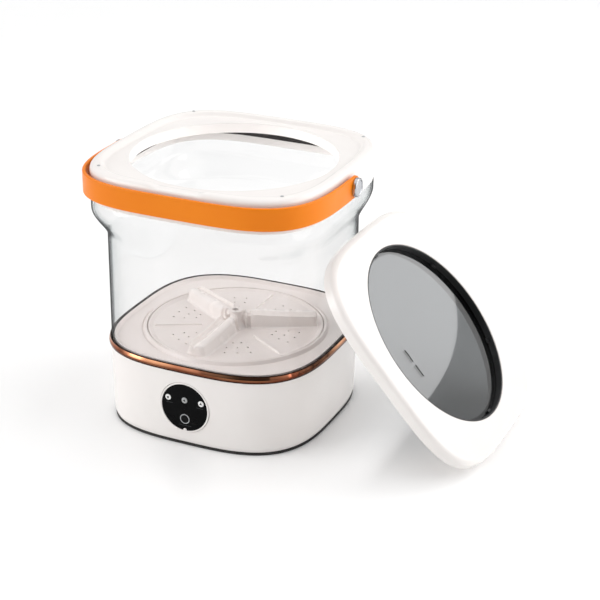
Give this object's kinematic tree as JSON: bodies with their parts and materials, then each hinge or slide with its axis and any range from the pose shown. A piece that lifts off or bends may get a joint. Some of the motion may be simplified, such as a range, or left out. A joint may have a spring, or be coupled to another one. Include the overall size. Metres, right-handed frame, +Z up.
{
  "type": "portable washing machine",
  "caption": "Bucket washing machine with a clear squared tub, white base and collar, strap handle, bottom pulsator and a lift-off lid with a smoked window.",
  "frame": {"origin": "centre of the machine's footprint on the surface it stands on", "axes": "+Z up, -Y the front with the control panel, +X the right side where the lid leans"},
  "size_m": [0.5076, 0.3545, 0.3316],
  "materials": {
    "white_abs": "satin moulded ABS",
    "clear_polycarbonate": "clear moulded polycarbonate",
    "orange_strap": "satin moulded polypropylene",
    "rose_gold": "rose-gold plating",
    "black_gloss": "polished black acrylic",
    "black_plastic": "matt black moulding",
    "smoked_window": "smoked transparent polycarbonate",
    "charcoal_rubber": "matt rubber",
    "charcoal_plastic": "textured moulding",
    "pale_silicone": "soft silicone",
    "grey_rubber": "soft rubber",
    "button_white": "moulded cap with a printed mark",
    "button_black": "moulded cap with a grey ring",
    "polished_chrome": "polished plating",
    "white_nylon": "moulded nylon",
    "screw_steel": "zinc-plated steel",
    "motor_steel": "plated sheet steel",
    "bronze": "sintered bronze",
    "gear_nylon": "moulded acetal",
    "copper_winding": "enamelled winding",
    "magnet": "sintered ferrite",
    "board_green": "lacquered board"
  },
  "bodies": {
    "machine": {"foot_ring": "charcoal_rubber", "bottom_cover": "charcoal_plastic", "bottom_screws": "screw_steel", "base_housing": "white_abs", "trim_ring": "rose_gold", "wash_floor": "white_abs", "floor_screws": "screw_steel", "tub_seal": "pale_silicone", "tub": "clear_polycarbonate", "collar": "white_abs", "collar_gasket": "charcoal_rubber", "lid_bumpers": "grey_rubber", "pivot_pins": "polished_chrome", "pivot_washers": "white_nylon", "panel_bezel": "white_abs", "panel_face": "black_gloss", "control_board": "board_green", "board_switches": "black_plastic", "board_screws": "screw_steel", "power_inlet": "black_plastic", "inlet_nut": "screw_steel", "shaft_seal": "charcoal_rubber", "upper_bearing": "bronze", "lower_bearing": "bronze", "motor_bracket": "motor_steel", "bracket_screws": "screw_steel", "motor_case": "motor_steel", "motor_magnets": "magnet", "motor_end_cap": "black_plastic", "motor_screws": "screw_steel"},
    "handle": {"handle_strap": "orange_strap"},
    "pulsator": {"pulsator": "white_abs", "pulsator_screw": "screw_steel", "drive_shaft": "screw_steel", "shaft_clip": "screw_steel", "output_gear": "gear_nylon"},
    "rotor": {"motor_armature": "copper_winding", "motor_shaft": "screw_steel", "pinion": "bronze"},
    "lid": {"lid_frame": "white_abs", "lid_bezel": "black_plastic", "lid_window": "smoked_window", "lid_seal": "pale_silicone"},
    "power_key": {"power_button": "button_black"},
    "mode_key_left": {"mode_button_left": "button_white"},
    "mode_key_middle": {"mode_button_middle": "button_white"},
    "mode_key_right": {"mode_button_right": "button_white"}
  },
  "joints": [
    {"name": "handle_swing", "type": "hinge", "parent": "machine", "child": "handle", "pos_m": [0, 0, 0.31], "axis": [-1, 0, 0], "range_deg": [0, 180]},
    {"name": "lid_lift", "type": "slide", "parent": "machine", "child": "lid", "axis": [0.7547, 0, 0.6561], "range_m": [0, 0.25]},
    {"name": "pulsator_spin", "type": "hinge", "parent": "machine", "child": "pulsator", "pos_m": [0, 0, 0.1], "axis": [0, 0, 1], "continuous": true},
    {"name": "motor_spin", "type": "hinge", "parent": "machine", "child": "rotor", "pos_m": [0.048, 0, 0.06], "axis": [0, 0, 1], "continuous": true},
    {"name": "power_press", "type": "slide", "parent": "machine", "child": "power_key", "axis": [0, 1, 0], "range_m": [0, 0.0006], "stiffness_N_per_m": 500, "springref_m": -0.0005},
    {"name": "mode_left_press", "type": "slide", "parent": "machine", "child": "mode_key_left", "axis": [0, 1, 0], "range_m": [0, 0.0006], "stiffness_N_per_m": 500, "springref_m": -0.0005},
    {"name": "mode_middle_press", "type": "slide", "parent": "machine", "child": "mode_key_middle", "axis": [0, 1, 0], "range_m": [0, 0.0006], "stiffness_N_per_m": 500, "springref_m": -0.0005},
    {"name": "mode_right_press", "type": "slide", "parent": "machine", "child": "mode_key_right", "axis": [0, 1, 0], "range_m": [0, 0.0006], "stiffness_N_per_m": 500, "springref_m": -0.0005}
  ],
  "couplings": [
    {"joint": "motor_spin", "follows": "pulsator_spin", "ratio": -3}
  ]
}
